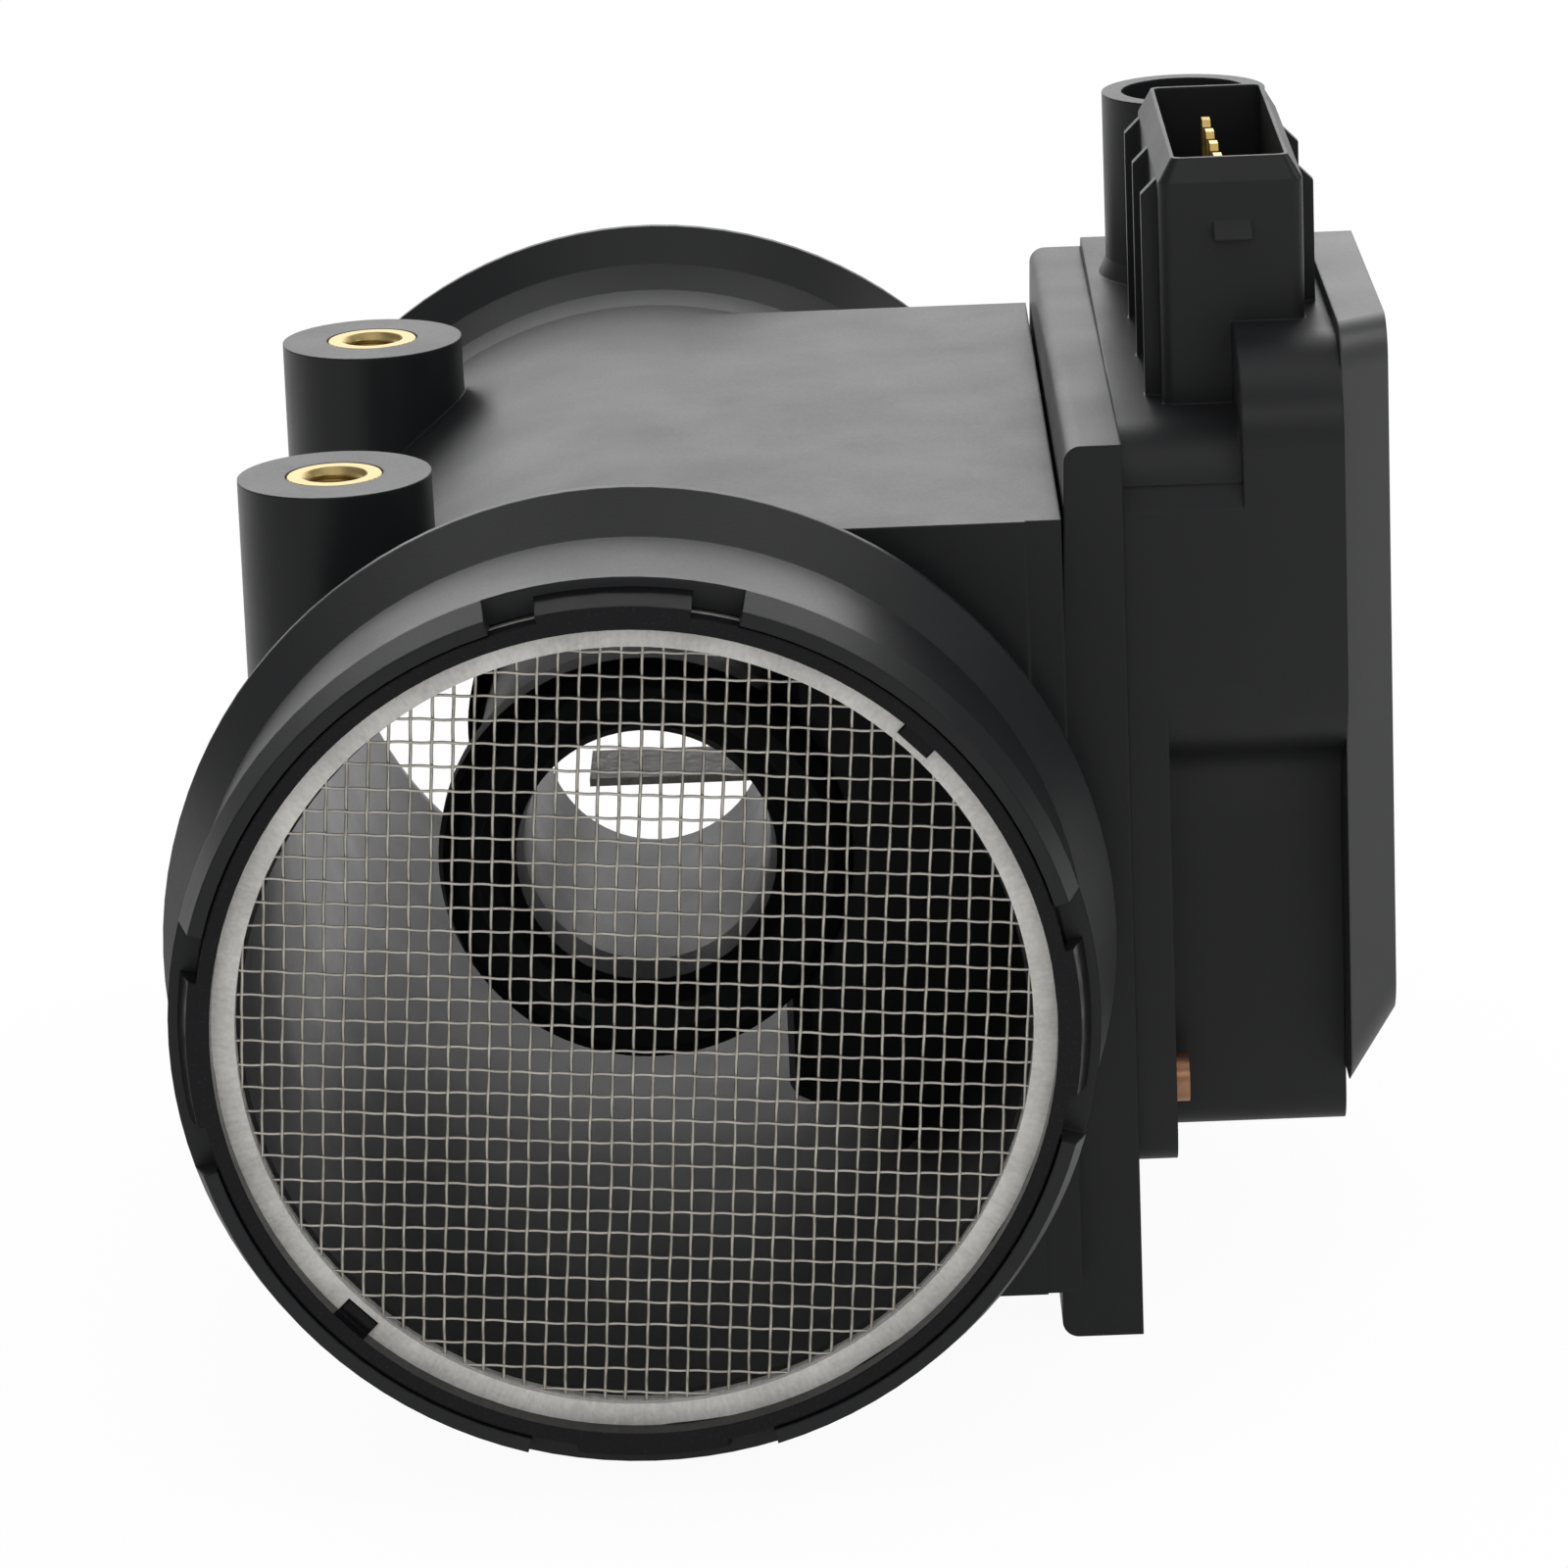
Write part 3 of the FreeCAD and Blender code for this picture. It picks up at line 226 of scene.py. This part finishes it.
def moulded_plastic(name, dark, light, rough_low, rough_high, ior=PLASTIC_IOR, smooth_bore=0.0):
    """Glass-filled black plastic: faint flow marks, a fine moulded grain and soft edges.

    Within the radius smooth_bore about the duct's axis the core has left it a little smoother, but
    the low side of the bore is dulled by a thin film.
    """
    shade = Shade(name)
    flow = shade.noise(28.0, 4.0, 0.55, shade.stretched((1.0, 0.35, 1.0)))
    patches = shade.noise(90.0, 2.0, 0.5)
    fine = shade.noise(2600.0, 2.0, 0.6)
    colour = shade.blend(shade.spread(flow, 0.0, 1.0, 0.35, 0.65), tone(*dark), tone(*light))
    rough = shade.math("ADD", shade.spread(patches, rough_low, rough_high, 0.3, 0.7),
                       shade.spread(fine, -0.02, 0.02))
    in_bore = shade.math("LESS_THAN", shade.from_axis(), smooth_bore)
    change = ramp(shade.tree, shade.axes()["Z"], *FILM_HEIGHTS, FILM_ROUGHER, CORE_ROUGHER)
    rough = shade.math("MULTIPLY_ADD", in_bore, change, rough)
    normal = shade.bump(fine, GRAIN_DEPTH, 0.3, shade.soft_edge(EDGE_ROUND))
    shade.set(Base_Color=colour, Roughness=rough, Normal=normal, IOR=ior)
    return shade.material


def glossy_sealant(name):
    """Glossy black plastic with a shallow, flowed surface."""
    shade = Shade(name)
    waves = shade.noise(260.0, 2.0, 0.5)
    dust = shade.noise(3000.0, 1.0, 0.5)
    colour = shade.blend(shade.spread(dust, 0.0, 1.0, 0.6, 0.75),
                         tone(0.005, 0.005, 0.006), tone(0.010, 0.010, 0.011))
    normal = shade.bump(waves, 0.16 * MM, 0.4, shade.soft_edge(EDGE_ROUND))
    shade.set(Base_Color=colour, Roughness=shade.spread(waves, 0.12, 0.24), Normal=normal, IOR=1.3)
    return shade.material


def turned_metal(name):
    """Silver ring: dull bright metal with fine grains and short radial marks from forming."""
    shade = Shade(name)
    x, y, z = shade.axes()[:3]
    angle = shade.math("ARCTAN2", z, x)
    polar = shade.tree.nodes.new("ShaderNodeCombineXYZ")
    shade.link(shade.math("MULTIPLY", angle, 60.0), polar.inputs[0])
    shade.link(shade.math("MULTIPLY", shade.from_axis(), 400.0), polar.inputs[1])
    marks = shade.noise(1.4, 3.0, 0.6, polar.outputs[0])
    grains = shade.noise(2200.0, 2.0, 0.6)
    cloud = shade.noise(120.0, 3.0, 0.6)
    patched = shade.math("MULTIPLY_ADD", cloud, 0.5,
                         shade.math("MULTIPLY_ADD", marks, 0.3, shade.math("MULTIPLY", grains, 0.2)))
    colour = shade.blend(shade.spread(patched, 0.0, 1.0, 0.36, 0.64),
                         tone(0.46, 0.45, 0.42), tone(0.74, 0.73, 0.69))
    shade.set(Base_Color=colour, Metallic=0.35, Roughness=shade.spread(marks, 0.30, 0.6),
              Normal=shade.bump(patched, 0.3 * MM, 0.7))
    return shade.material


def wire_metal(name):
    """Drawn stainless wire with a warm grey film."""
    shade = Shade(name)
    film = shade.noise(260.0, 3.0, 0.6)
    shade.set(Base_Color=shade.blend(shade.spread(film, 0.0, 1.0),
                                     tone(0.58, 0.55, 0.49), tone(0.80, 0.77, 0.70)),
              Metallic=0.9, Roughness=shade.spread(shade.noise(2400.0), 0.28, 0.46))
    return shade.material


def yellow_metal(name, dark, light, rough_low, rough_high):
    """Brass, gold or copper finish with a faint tarnish and fine turning marks."""
    shade = Shade(name)
    tarnish = shade.noise(500.0, 4.0, 0.6)
    turning = shade.noise(9000.0, 1.0, 0.5, shade.stretched((0.2, 0.2, 1.0)))
    shade.set(Base_Color=shade.blend(shade.spread(tarnish, 0.0, 1.0), tone(*dark), tone(*light)),
              Metallic=0.95, Roughness=shade.spread(tarnish, rough_low, rough_high),
              Normal=shade.bump(turning, 0.02 * MM, 0.5))
    return shade.material


def milled_aluminium(name):
    """Aluminium plate with fine milling lines along the duct."""
    shade = Shade(name)
    lines = shade.noise(1800.0, 2.0, 0.6, shade.stretched((1.0, 0.05, 1.0)))
    shade.set(Base_Color=tone(0.62, 0.62, 0.63), Metallic=1.0,
              Roughness=shade.spread(lines, 0.3, 0.5), Normal=shade.bump(lines, 0.03 * MM, 0.6))
    return shade.material


def fired_ceramic(name, dark, light):
    """Dull fired ceramic with a fine speckle."""
    shade = Shade(name)
    fine = shade.noise(1500.0, 3.0, 0.6)
    shade.set(Base_Color=shade.blend(shade.spread(fine, 0.0, 1.0), tone(*dark), tone(*light)),
              Roughness=shade.spread(fine, 0.4, 0.6), Normal=shade.bump(fine, 0.02 * MM, 0.4))
    return shade.material


def soft_rubber(name):
    """Matt black rubber."""
    shade = Shade(name)
    fine = shade.noise(1800.0, 3.0, 0.6)
    shade.set(Base_Color=tone(0.012, 0.012, 0.012), Roughness=shade.spread(fine, 0.55, 0.75),
              Normal=shade.bump(fine, 0.05 * MM, 0.4))
    return shade.material


# Slot, finish and that finish's values: a dark and a light tone, and the least and the most roughness
FINISHES = (
    ("housing_plastic", moulded_plastic, (0.0075, 0.0080, 0.0092), (0.0092, 0.0097, 0.0109),
     0.37, 0.42, PLASTIC_IOR, SMOOTH_BORE),
    ("case_plastic", moulded_plastic, (0.0085, 0.0090, 0.0103), (0.0103, 0.0108, 0.0121), 0.38, 0.43),
    ("cover_plastic", moulded_plastic, (0.0320, 0.0325, 0.0335), (0.0360, 0.0365, 0.0375),
     0.38, 0.43, 1.6),
    ("tube_plastic", moulded_plastic, (0.0080, 0.0085, 0.0095), (0.0110, 0.0115, 0.0125),
     0.28, 0.36, 1.20),
    ("carrier_plastic", moulded_plastic, (0.012, 0.012, 0.013), (0.017, 0.017, 0.018), 0.36, 0.48),
    ("transistor_plastic", moulded_plastic, (0.012, 0.012, 0.012), (0.017, 0.017, 0.017), 0.5, 0.62),
    ("retainer_plastic", glossy_sealant),
    ("screen_metal", turned_metal),
    ("screen_wire", wire_metal),
    ("insert_brass", yellow_metal, (0.50, 0.36, 0.13), (0.72, 0.56, 0.26), 0.28, 0.46),
    ("pin_gold", yellow_metal, (0.66, 0.44, 0.12), (0.85, 0.62, 0.24), 0.22, 0.36),
    ("screw_copper", yellow_metal, (0.45, 0.22, 0.12), (0.66, 0.38, 0.24), 0.3, 0.48),
    ("sink_aluminium", milled_aluminium),
    ("circuit_ceramic", fired_ceramic, (0.62, 0.61, 0.56), (0.76, 0.75, 0.71)),
    ("sensor_ceramic", fired_ceramic, (0.28, 0.25, 0.2), (0.42, 0.39, 0.33)),
    ("seal_rubber", soft_rubber),
)
MATERIALS = {slot: finish(slot, *values) for slot, finish, *values in FINISHES}


def dress_nodes():
    """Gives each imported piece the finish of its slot."""
    for row in frame["record"]["subparts"]:
        node = nodes[row["node"]]
        node.data.materials.clear()
        node.data.materials.append(MATERIALS[row["material_slot"]])


# Building helpers

def add_piece(name, mesh, slot_name, replaced=()):
    """Adds a smooth piece of the scene's own, in place of the nodes that it replaces."""
    piece = bpy.data.objects.new(name, mesh)
    bpy.context.scene.collection.objects.link(piece)
    mesh.materials.append(MATERIALS[slot_name])
    for face in mesh.polygons:
        face.use_smooth = True
    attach(piece, BODY)
    if replaced:
        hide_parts(*replaced)
    return piece


def mesh_from(bm, name):
    mesh = bpy.data.meshes.new(name)
    bm.to_mesh(mesh)
    bm.free()
    return mesh


def close_ring(bm, first, second):
    """Faces all round between two rings of vertices."""
    for side in range(len(first)):
        following = (side + 1) % len(first)
        bm.faces.new((first[side], first[following], second[following], second[side]))


def turns(count):
    return [2 * math.pi * side / count for side in range(count)]


def tube_along(bm, points, radius, sides):
    """Closed round tube through the points, which run close to one straight line."""
    rings = []
    for number, point in enumerate(points):
        before = points[max(number - 1, 0)]
        after = points[min(number + 1, len(points) - 1)]
        sight = (after - before).normalized()
        aside = sight.cross(Vector((0, 1, 0))).normalized()
        upright = aside.cross(sight)
        rings.append([bm.verts.new(point + radius * (math.cos(turn) * aside + math.sin(turn) * upright))
                      for turn in turns(sides)])
    for first, second in zip(rings, rings[1:]):
        close_ring(bm, first, second)
    bm.faces.new(rings[0][::-1])
    bm.faces.new(rings[-1])


# Woven screen

WEAVE_TURN = math.radians(3.9)
WEAVE_INSET = 0.1 * MM
WEAVE_FADE = 1.2 * MM
WEAVE_SEED = 7
WIRE_SIDES = 6
WIRE_JITTER = 0.05
WANDER = 0.16 * MM
WANDER_WAVES = 90
WANDER_SPAN = 50
HANGING = {"pitch": 1.86 * MM, "radius": 0.150 * MM, "steps": 6, "sway": 0.02 * MM}
LYING = {"pitch": 2.19 * MM, "radius": 0.132 * MM, "steps": 4, "sway": 0.05 * MM}
CRIMP = HANGING["radius"] + LYING["radius"]


def wire_family(bm, wires, other, hanging, reach, middle, generator):
    """Parallel wires of one direction; the hanging ones go over and under the lying ones."""
    sine, cosine = math.sin(WEAVE_TURN), math.cos(WEAVE_TURN)
    along_way = Vector((sine, 0, cosine)) if hanging else Vector((cosine, 0, -sine))
    across_way = Vector((cosine, 0, -sine)) if hanging else Vector((sine, 0, cosine))
    count = int(reach / wires["pitch"])
    for number in range(-count, count + 1):
        across = number * wires["pitch"] + generator.uniform(-WIRE_JITTER, WIRE_JITTER) * MM
        half = math.sqrt(max(reach ** 2 - across ** 2, 0))
        steps = max(2, int(2 * half / other["pitch"] * wires["steps"]))
        drift = generator.uniform(0, WANDER_SPAN)
        points = []
        for step in range(steps + 1):
            along = -half + 2 * half * step / steps
            phase = math.pi * (along / other["pitch"] + number)
            room = reach - math.hypot(along, across)
            fade = min(1.0, max(0.0, room / WEAVE_FADE - 0.5))
            depth = math.cos(phase) * CRIMP * fade if hanging else 0.0
            wander = noise.noise(Vector((along * WANDER_WAVES, drift, 0))) * WANDER
            side = across + wander + math.sin(phase) * wires["sway"]
            points.append(along_way * along + across_way * side + Vector((0, middle - depth, 0)))
        tube_along(bm, points, wires["radius"], WIRE_SIDES)


def woven_screen():
    """Plain weave trimmed to the disc that the frame grips."""
    low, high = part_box("screen_mesh")
    reach = (high.x - low.x) / 2 - WEAVE_INSET
    middle = (low.y + high.y) / 2
    generator = random.Random(WEAVE_SEED)
    bm = bmesh.new()
    wire_family(bm, HANGING, LYING, True, reach, middle, generator)
    wire_family(bm, LYING, HANGING, False, reach, middle, generator)
    return add_piece("screen_weave", mesh_from(bm, "screen_weave"), "screen_wire", ("screen_mesh",))


# Sealant where the retainer meets the screen's frame

BEAD_STEPS = 360
BEAD_SIDES = 8
BEAD_RADIUS = 0.28 * MM
BEAD_SWELL = 0.14 * MM
BEAD_SWELL_WAVES = 9
BEAD_WAVE = 0.25 * MM
BEAD_WAVES = 4
BEAD_OUT = 0.33 * MM
FRAME_CLEARANCE = 0.4 * MM
RETAINER_WIDTH = 1.6 * MM


def sealant_bead():
    """Wavy black bead of sealant in the corner between the retainer and the frame."""
    low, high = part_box("screen_frame")
    corner = (high.x - low.x) / 2 + FRAME_CLEARANCE - RETAINER_WIDTH + BEAD_OUT
    bm = bmesh.new()
    rings = []
    inward = Vector((0, 1, 0))
    for turn in turns(BEAD_STEPS):
        way = Vector((math.cos(turn), 0, math.sin(turn)))
        middle = way * (corner + noise.noise(way * BEAD_WAVES) * BEAD_WAVE) + inward * low.y
        radius = BEAD_RADIUS + noise.noise(way * BEAD_SWELL_WAVES) * BEAD_SWELL
        rings.append([bm.verts.new(middle + radius * (math.cos(side) * way + math.sin(side) * inward))
                      for side in turns(BEAD_SIDES)])
    for first, second in zip(rings, rings[1:] + rings[:1]):
        close_ring(bm, first, second)
    bmesh.ops.recalc_face_normals(bm, faces=bm.faces)
    return add_piece("sealant_bead", mesh_from(bm, "sealant_bead"), "retainer_plastic")


# Brass inserts with a cut thread

THREAD_PITCH = 1.0 * MM
THREAD_MINOR = 2.5 * MM
THREAD_MAJOR = 3.0 * MM
THREAD_START = 0.5 * MM
THREAD_LEVELS = 8
THREAD_SHARPNESS = 1.3
THREAD_ROOT = 0.15
MOUTH_RADIUS = 3.15 * MM
MOUTH_BEVEL = 0.1 * MM
MOUTH_DEPTH = 0.12 * MM
TOP_BEVEL = 0.25 * MM
INSERT_SIDES = 144
KNURLS = 36
KNURL_DEPTH = 0.14 * MM
FLAT_FACE = 0.9


def threaded_insert(name):
    """Insert of the node's own size, with a knurled outside and a helical thread inside."""
    low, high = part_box(name)
    centre = (low + high) / 2
    outer = (high.x - low.x) / 2
    top, bottom = high.z, low.z
    levels = int((top - bottom) / THREAD_PITCH * THREAD_LEVELS)
    thread_top = top - THREAD_START
    bm = bmesh.new()
    rings = []

    def ring(height, radius_at):
        rings.append([bm.verts.new((centre.x + radius_at(turn) * math.cos(turn),
                                    centre.y + radius_at(turn) * math.sin(turn), height))
                      for turn in turns(INSERT_SIDES)])

    def knurled(turn):
        return outer - KNURL_DEPTH * (0.5 + 0.5 * math.cos(KNURLS * turn))

    ring(bottom, lambda turn: THREAD_MAJOR)
    for height in (bottom, top - TOP_BEVEL):
        ring(height, knurled)
    ring(top, lambda turn: outer - TOP_BEVEL)
    ring(top, lambda turn: MOUTH_RADIUS + MOUTH_BEVEL)
    ring(top - MOUTH_DEPTH, lambda turn: MOUTH_RADIUS)
    for level in range(levels + 1):
        height = thread_top - (thread_top - bottom) * level / levels

        def thread(turn, height=height):
            phase = (height / THREAD_PITCH - turn / (2 * math.pi)) % 1.0
            ridge = THREAD_SHARPNESS * (1 - abs(2 * phase - 1)) - THREAD_ROOT
            return THREAD_MAJOR - (THREAD_MAJOR - THREAD_MINOR) * min(1.0, max(0.0, ridge))
        ring(height, thread)
    for first, second in zip(rings, rings[1:] + rings[:1]):
        close_ring(bm, first, second)
    bmesh.ops.recalc_face_normals(bm, faces=bm.faces)
    piece = add_piece(name + "_threaded", mesh_from(bm, name), "insert_brass", (name,))
    for face in piece.data.polygons:
        face.use_smooth = abs(face.normal.z) < FLAT_FACE
    return piece


# Studio

WHITE = tone(1, 1, 1)
FLOOR_SIZE = 6.0
FLOOR_TONE = tone(0.86, 0.86, 0.86)
FLOOR_ROUGHNESS = 0.9
FLOOR_GLOW = 0.95
FLOOR_SEEN = 0.85
FLOOR_REFLECTED = (0.45, 0.90)
FLOOR_DEPTH = (0.0, 0.3)
WALL_EDGE = (0.0, 0.5)
WALL_SIDES = (0.28, 0.70)
WALL_TOP = (0.75, 0.98)
WALL_LEVEL = 0.94
ROOM_LEVEL = 0.14
FILL_LEVELS = (0.90, 1.15)
# Name, place, size and watts of each lamp
LAMPS = (
    ("back_light", (0.0, 1.5, 0.70), (2.2, 1.0), 7.5),
    ("right_light", (0.95, 0.1, 0.75), (0.35, 0.5), 1.5),
    ("front_light", (0.2, -1.2, 0.7), (1.4, 0.4), 2.2),
    ("top_light", (0.06, -0.12, 0.9), (0.7, 0.7), 0.9),
)


def combined(tree, operation, first, second):
    """Output of a math node; first and second are outputs of other nodes."""
    node = tree.nodes.new("ShaderNodeMath")
    node.operation = operation
    tree.links.new(first, node.inputs[0])
    tree.links.new(second, node.inputs[1])
    return node.outputs[0]


def sees_background(tree):
    """Two outputs: 1 for what the camera sees, and 1 for what it, a reflection or a clear body sees."""
    path = tree.nodes.new("ShaderNodeLightPath").outputs
    direct = combined(tree, "MAXIMUM", path["Is Camera Ray"], path["Is Glossy Ray"])
    return path["Is Camera Ray"], combined(tree, "MAXIMUM", direct, path["Is Transmission Ray"])


def make_world():
    """White studio wall behind the part, a dim room in front of it, and a soft plain fill."""
    world = bpy.data.worlds.new("studio")
    bpy.context.scene.world = world
    world.use_nodes = True
    tree = world.node_tree
    tree.nodes.clear()
    output = tree.nodes.new("ShaderNodeOutputWorld")
    camera, seen = sees_background(tree)
    direction = tree.nodes.new("ShaderNodeTexCoord").outputs["Generated"]
    separate = tree.nodes.new("ShaderNodeSeparateXYZ")
    tree.links.new(direction, separate.inputs[0])
    x, y, z = separate.outputs[:3]
    sideways = tree.nodes.new("ShaderNodeMath")
    sideways.operation = "ABSOLUTE"
    tree.links.new(x, sideways.inputs[0])
    behind = ramp(tree, y, *WALL_EDGE, 0.0, 1.0)
    inside = ramp(tree, sideways.outputs[0], *WALL_SIDES, 1.0, 0.0)
    below = ramp(tree, z, *WALL_TOP, 1.0, 0.0)
    wall = combined(tree, "MULTIPLY", combined(tree, "MULTIPLY", behind, inside), below)
    room = ramp(tree, wall, 0.0, 1.0, ROOM_LEVEL, WALL_LEVEL)
    background = tree.nodes.new("ShaderNodeBackground")
    tree.links.new(combined(tree, "MAXIMUM", camera, room), background.inputs["Strength"])
    fill = tree.nodes.new("ShaderNodeBackground")
    tree.links.new(ramp(tree, y, *WALL_EDGE, *FILL_LEVELS), fill.inputs["Strength"])
    for shader in (background, fill):
        shader.inputs["Color"].default_value = WHITE
    mix = tree.nodes.new("ShaderNodeMixShader")
    tree.links.new(seen, mix.inputs["Fac"])
    tree.links.new(fill.outputs[0], mix.inputs[1])
    tree.links.new(background.outputs[0], mix.inputs[2])
    tree.links.new(mix.outputs[0], output.inputs["Surface"])


def make_floor():
    """White floor just under the part, with the part's soft shadow on it."""
    mesh = bpy.data.meshes.new("floor")
    half = FLOOR_SIZE / 2
    level = cad_low.z
    mesh.from_pydata([(-half, -half, level), (half, -half, level), (half, half, level),
                      (-half, half, level)], [], [(0, 1, 2, 3)])
    floor = bpy.data.objects.new("floor", mesh)
    bpy.context.scene.collection.objects.link(floor)
    shade = Shade("floor")
    shade.set(Base_Color=FLOOR_TONE, Roughness=FLOOR_ROUGHNESS)
    tree = shade.tree
    camera, seen = sees_background(tree)
    reflected = ramp(tree, shade.axes()["Y"], *FLOOR_DEPTH, *FLOOR_REFLECTED)
    glow = tree.nodes.new("ShaderNodeEmission")
    glow.inputs["Color"].default_value = WHITE
    shade.link(shade.math("MAXIMUM", camera, reflected), glow.inputs["Strength"])
    share = shade.math("MAXIMUM", shade.math("MULTIPLY", camera, FLOOR_GLOW),
                       shade.math("MULTIPLY", seen, FLOOR_SEEN))
    mix = tree.nodes.new("ShaderNodeMixShader")
    shade.link(share, mix.inputs["Fac"])
    shade.link(shade.surface.outputs["BSDF"], mix.inputs[1])
    shade.link(glow.outputs[0], mix.inputs[2])
    shade.link(mix.outputs[0], shade.output.inputs["Surface"])
    mesh.materials.append(shade.material)


def make_lights():
    """Soft lamps that point at the part's middle."""
    middle = (cad_low + cad_high) / 2
    for name, place, size, power in LAMPS:
        data = bpy.data.lights.new(name, "AREA")
        data.shape = "RECTANGLE"
        data.size, data.size_y = size
        data.energy = power
        lamp = bpy.data.objects.new(name, data)
        lamp.location = place
        lamp.rotation_euler = (middle - Vector(place)).to_track_quat("-Z", "Y").to_euler()
        lamp.visible_camera = False
        bpy.context.scene.collection.objects.link(lamp)


# The picture

dress_nodes()
woven_screen()
sealant_bead()
for insert_name in ("thread_insert_front", "thread_insert_rear"):
    threaded_insert(insert_name)
make_floor()
make_world()
make_lights()
make_camera()
bpy.context.scene.view_settings.view_transform = "Standard"
